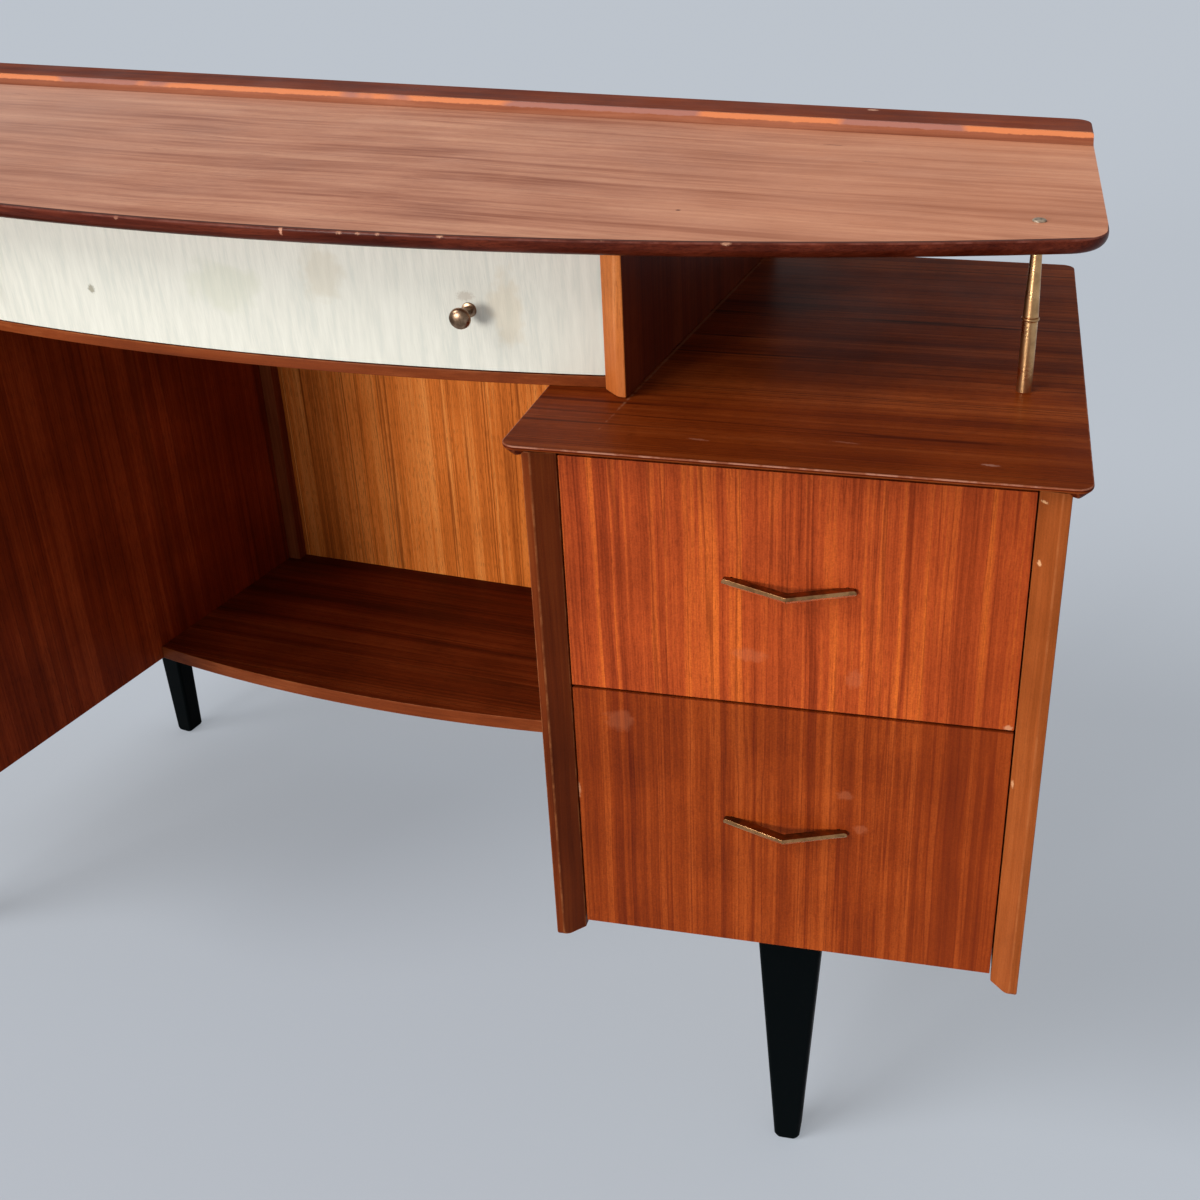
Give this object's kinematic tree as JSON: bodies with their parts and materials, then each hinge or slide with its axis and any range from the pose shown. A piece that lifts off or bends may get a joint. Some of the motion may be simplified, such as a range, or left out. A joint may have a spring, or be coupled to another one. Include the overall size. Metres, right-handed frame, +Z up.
{
  "type": "dressing table desk",
  "caption": "Bow-fronted dressing table desk with a floating top on posts, turned drawer pedestals, a bowed centre drawer, a kneehole shelf and tapered legs.",
  "frame": {"origin": "centre of the footprint on the floor: the bounding box's bottom centre", "axes": "+X to the sitter's right along the desk's length, +Y from the sitter towards the desk's back, +Z up"},
  "size_m": [1.2332, 0.4888, 0.758],
  "materials": {
    "top_veneer": "veneered, satin lacquer",
    "dark_lipping": "solid hardwood, dark satin stain",
    "brass": "polished, slightly tarnished",
    "case_wood": "dark stained veneer",
    "case_lip": "solid hardwood, worn satin",
    "plywood": "plain plywood",
    "ped_top_wood": "veneered, dark satin lacquer",
    "side_veneer": "veneered, satin lacquer",
    "stile_wood": "solid hardwood, satin lacquer",
    "inner_wood": "bare softwood",
    "knee_veneer": "veneered, satin lacquer",
    "shelf_veneer": "veneered, satin lacquer",
    "black_paint": "painted black, semi-gloss",
    "steel": "zinc plated",
    "drawer_veneer": "striped veneer, satin lacquer",
    "pull_brass": "aged brass",
    "cream_vinyl": "streaked vinyl facing",
    "knob_brass": "aged brass"
  },
  "bodies": {
    "desk": {"top_board": "top_veneer", "top_lipping": "dark_lipping", "top_back_rail": "dark_lipping", "post_lower": "brass", "post_collars": "brass", "post_upper": "brass", "case_sides": "case_wood", "case_bottom": "case_wood", "case_front_lip": "case_lip", "case_back": "plywood", "kneehole_back": "knee_veneer", "kneehole_battens": "stile_wood", "shelf_board": "shelf_veneer", "shelf_front_lip": "case_lip", "front_legs": "black_paint", "back_legs": "black_paint", "leg_plates": "steel", "right_pedestal_top": "ped_top_wood", "right_pedestal_side_inner": "side_veneer", "right_pedestal_side_outer": "side_veneer", "right_pedestal_stiles": "stile_wood", "right_pedestal_back": "plywood", "right_pedestal_bottom": "inner_wood", "right_pedestal_runners": "inner_wood", "left_pedestal_top": "ped_top_wood", "left_pedestal_side_inner": "side_veneer", "left_pedestal_side_outer": "side_veneer", "left_pedestal_stiles": "stile_wood", "left_pedestal_back": "plywood", "left_pedestal_bottom": "inner_wood", "left_pedestal_runners": "inner_wood"},
    "right_upper_drawer": {"right_upper_drawer_front": "drawer_veneer", "right_upper_drawer_sides": "inner_wood", "right_upper_drawer_back": "inner_wood", "right_upper_drawer_bottom": "plywood", "right_upper_drawer_pull": "pull_brass"},
    "right_lower_drawer": {"right_lower_drawer_front": "drawer_veneer", "right_lower_drawer_sides": "inner_wood", "right_lower_drawer_back": "inner_wood", "right_lower_drawer_bottom": "plywood", "right_lower_drawer_pull": "pull_brass"},
    "left_upper_drawer": {"left_upper_drawer_front": "drawer_veneer", "left_upper_drawer_sides": "inner_wood", "left_upper_drawer_back": "inner_wood", "left_upper_drawer_bottom": "plywood", "left_upper_drawer_pull": "pull_brass"},
    "left_lower_drawer": {"left_lower_drawer_front": "drawer_veneer", "left_lower_drawer_sides": "inner_wood", "left_lower_drawer_back": "inner_wood", "left_lower_drawer_bottom": "plywood", "left_lower_drawer_pull": "pull_brass"},
    "centre_drawer": {"centre_drawer_facing": "cream_vinyl", "centre_drawer_front": "inner_wood", "centre_drawer_sides": "inner_wood", "centre_drawer_back": "inner_wood", "centre_drawer_bottom": "plywood", "centre_drawer_knobs": "knob_brass"}
  },
  "joints": [
    {"name": "right_upper_drawer_slide", "type": "slide", "parent": "desk", "child": "right_upper_drawer", "axis": [0.0958, -0.9954, 0], "range_m": [0, 0.3]},
    {"name": "right_lower_drawer_slide", "type": "slide", "parent": "desk", "child": "right_lower_drawer", "axis": [0.0958, -0.9954, 0], "range_m": [0, 0.3]},
    {"name": "left_upper_drawer_slide", "type": "slide", "parent": "desk", "child": "left_upper_drawer", "axis": [-0.0958, -0.9954, 0], "range_m": [0, 0.3]},
    {"name": "left_lower_drawer_slide", "type": "slide", "parent": "desk", "child": "left_lower_drawer", "axis": [-0.0958, -0.9954, 0], "range_m": [0, 0.3]},
    {"name": "centre_drawer_slide", "type": "slide", "parent": "desk", "child": "centre_drawer", "axis": [0, -1, 0], "range_m": [0, 0.24]}
  ]
}
